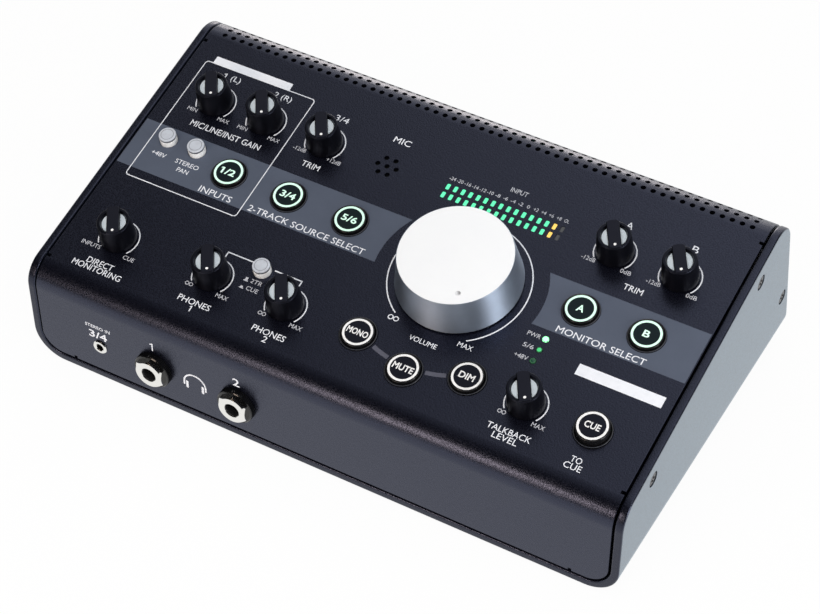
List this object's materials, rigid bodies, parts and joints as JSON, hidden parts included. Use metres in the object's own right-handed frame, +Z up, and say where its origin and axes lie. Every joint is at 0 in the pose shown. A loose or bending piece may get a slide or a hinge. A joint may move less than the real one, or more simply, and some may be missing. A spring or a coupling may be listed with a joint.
{
  "type": "studio monitor controller",
  "caption": "Sloping desk-top studio monitor controller: folded sheet housing, large volume knob, small knobs, lit push buttons, level meter, front phones jacks and rear sockets.",
  "frame": {"origin": "centre of the bounding box in plan, on the plane that the feet stand on", "axes": "+X is the user's right, +Y away from the user, +Z up"},
  "size_m": [0.29, 0.1816, 0.0939],
  "materials": {
    "black_paint": "fine-textured semi-gloss black powder coat",
    "satin_aluminium": "satin turned aluminium",
    "knob_plastic": "satin black",
    "cap_plastic": "smoked translucent cap with a light ring",
    "grey_plastic": "satin pale grey",
    "frame_plastic": "satin black",
    "meter_window": "translucent light windows",
    "foot_rubber": "matte black",
    "board": "lacquered green board",
    "chrome": "bright plated",
    "socket_plastic": "satin black",
    "zinc": "dull plated",
    "screw_steel": "black oxide"
  },
  "bodies": {
    "housing": {"outer_wrap": "black_paint", "inner_sheet": "black_paint", "foot_left_front": "foot_rubber", "foot_left_rear": "foot_rubber", "foot_right_front": "foot_rubber", "foot_right_rear": "foot_rubber", "screw_left_front": "screw_steel", "screw_left_rear_upper": "screw_steel", "screw_left_rear_lower": "screw_steel", "screw_right_front": "screw_steel", "screw_right_rear_upper": "screw_steel", "screw_right_rear_lower": "screw_steel", "mini_socket": "chrome", "phones_socket_1": "socket_plastic", "phones_nut_1": "chrome", "phones_socket_2": "socket_plastic", "phones_nut_2": "chrome", "combo_socket_1": "socket_plastic", "combo_socket_2": "socket_plastic", "line_input_sockets": "socket_plastic", "monitor_output_sockets": "socket_plastic", "usb_socket": "zinc", "power_inlet": "socket_plastic", "button_frame": "frame_plastic", "level_meter": "meter_window", "control_board": "board", "socket_board": "board", "volume_potentiometer": "zinc", "potentiometer_gain_1": "zinc", "potentiometer_gain_2": "zinc", "potentiometer_line_trim": "zinc", "potentiometer_trim_a": "zinc", "potentiometer_trim_b": "zinc", "potentiometer_direct_mix": "zinc", "potentiometer_phones_1": "zinc", "potentiometer_phones_2": "zinc", "potentiometer_talkback_level": "zinc"},
    "volume_dial": {"volume_knob": "satin_aluminium"},
    "dial_gain_1": {"knob_gain_1": "knob_plastic"},
    "dial_gain_2": {"knob_gain_2": "knob_plastic"},
    "dial_line_trim": {"knob_line_trim": "knob_plastic"},
    "dial_trim_a": {"knob_trim_a": "knob_plastic"},
    "dial_trim_b": {"knob_trim_b": "knob_plastic"},
    "dial_direct_mix": {"knob_direct_mix": "knob_plastic"},
    "dial_phones_1": {"knob_phones_1": "knob_plastic"},
    "dial_phones_2": {"knob_phones_2": "knob_plastic"},
    "dial_talkback_level": {"knob_talkback_level": "knob_plastic"},
    "key_source_1": {"button_source_1": "cap_plastic"},
    "key_source_2": {"button_source_2": "cap_plastic"},
    "key_source_3": {"button_source_3": "cap_plastic"},
    "key_monitor_a": {"button_monitor_a": "cap_plastic"},
    "key_monitor_b": {"button_monitor_b": "cap_plastic"},
    "key_mono": {"button_mono": "cap_plastic"},
    "key_mute": {"button_mute": "cap_plastic"},
    "key_dim": {"button_dim": "cap_plastic"},
    "key_talkback": {"button_talkback": "cap_plastic"},
    "key_phantom": {"button_phantom": "grey_plastic"},
    "key_pan": {"button_pan": "grey_plastic"},
    "key_phones_source": {"button_phones_source": "grey_plastic"},
    "key_power": {"power_button": "frame_plastic"}
  },
  "joints": [
    {"name": "volume_turn", "type": "hinge", "parent": "housing", "child": "volume_dial", "pos_m": [0.0316, -0.01362, 0.06978], "axis": [0, -0.2241, 0.9746], "range_deg": [0, 300]},
    {"name": "gain_1_turn", "type": "hinge", "parent": "housing", "child": "dial_gain_1", "pos_m": [-0.1155, 0.02527, 0.07873], "axis": [0, -0.2241, 0.9746], "range_deg": [0, 300]},
    {"name": "gain_2_turn", "type": "hinge", "parent": "housing", "child": "dial_gain_2", "pos_m": [-0.0888, 0.02527, 0.07873], "axis": [0, -0.2241, 0.9746], "range_deg": [0, 300]},
    {"name": "line_trim_turn", "type": "hinge", "parent": "housing", "child": "dial_line_trim", "pos_m": [-0.0579, 0.02527, 0.07873], "axis": [0, -0.2241, 0.9746], "range_deg": [0, 300]},
    {"name": "trim_a_turn", "type": "hinge", "parent": "housing", "child": "dial_trim_a", "pos_m": [0.0854, 0.02527, 0.07873], "axis": [0, -0.2241, 0.9746], "range_deg": [0, 300]},
    {"name": "trim_b_turn", "type": "hinge", "parent": "housing", "child": "dial_trim_b", "pos_m": [0.1158, 0.02527, 0.07873], "axis": [0, -0.2241, 0.9746], "range_deg": [0, 300]},
    {"name": "direct_mix_turn", "type": "hinge", "parent": "housing", "child": "dial_direct_mix", "pos_m": [-0.1155, -0.05523, 0.06021], "axis": [0, -0.2241, 0.9746], "range_deg": [0, 300]},
    {"name": "phones_1_turn", "type": "hinge", "parent": "housing", "child": "dial_phones_1", "pos_m": [-0.06689, -0.05523, 0.06021], "axis": [0, -0.2241, 0.9746], "range_deg": [0, 300]},
    {"name": "phones_2_turn", "type": "hinge", "parent": "housing", "child": "dial_phones_2", "pos_m": [-0.0299, -0.05523, 0.06021], "axis": [0, -0.2241, 0.9746], "range_deg": [0, 300]},
    {"name": "talkback_level_turn", "type": "hinge", "parent": "housing", "child": "dial_talkback_level", "pos_m": [0.0854, -0.05523, 0.06021], "axis": [0, -0.2241, 0.9746], "range_deg": [0, 300]},
    {"name": "source_1_press", "type": "slide", "parent": "housing", "child": "key_source_1", "axis": [0, 0.2241, -0.9746], "range_m": [0, 0.0012], "stiffness_N_per_m": 500},
    {"name": "source_2_press", "type": "slide", "parent": "housing", "child": "key_source_2", "axis": [0, 0.2241, -0.9746], "range_m": [0, 0.0012], "stiffness_N_per_m": 500},
    {"name": "source_3_press", "type": "slide", "parent": "housing", "child": "key_source_3", "axis": [0, 0.2241, -0.9746], "range_m": [0, 0.0012], "stiffness_N_per_m": 500},
    {"name": "monitor_a_press", "type": "slide", "parent": "housing", "child": "key_monitor_a", "axis": [0, 0.2241, -0.9746], "range_m": [0, 0.0012], "stiffness_N_per_m": 500},
    {"name": "monitor_b_press", "type": "slide", "parent": "housing", "child": "key_monitor_b", "axis": [0, 0.2241, -0.9746], "range_m": [0, 0.0012], "stiffness_N_per_m": 500},
    {"name": "mono_press", "type": "slide", "parent": "housing", "child": "key_mono", "axis": [0, 0.2241, -0.9746], "range_m": [0, 0.0012], "stiffness_N_per_m": 500},
    {"name": "mute_press", "type": "slide", "parent": "housing", "child": "key_mute", "axis": [0, 0.2241, -0.9746], "range_m": [0, 0.0012], "stiffness_N_per_m": 500},
    {"name": "dim_press", "type": "slide", "parent": "housing", "child": "key_dim", "axis": [0, 0.2241, -0.9746], "range_m": [0, 0.0012], "stiffness_N_per_m": 500},
    {"name": "talkback_press", "type": "slide", "parent": "housing", "child": "key_talkback", "axis": [0, 0.2241, -0.9746], "range_m": [0, 0.0025], "stiffness_N_per_m": 500},
    {"name": "phantom_press", "type": "slide", "parent": "housing", "child": "key_phantom", "axis": [0, 0.2241, -0.9746], "range_m": [0, 0.0025], "stiffness_N_per_m": 500},
    {"name": "pan_press", "type": "slide", "parent": "housing", "child": "key_pan", "axis": [0, 0.2241, -0.9746], "range_m": [0, 0.0025], "stiffness_N_per_m": 500},
    {"name": "phones_source_press", "type": "slide", "parent": "housing", "child": "key_phones_source", "axis": [0, 0.2241, -0.9746], "range_m": [0, 0.0025], "stiffness_N_per_m": 500},
    {"name": "power_press", "type": "slide", "parent": "housing", "child": "key_power", "axis": [0, -0.9789, -0.2045], "range_m": [0, 0.002], "stiffness_N_per_m": 500}
  ]
}
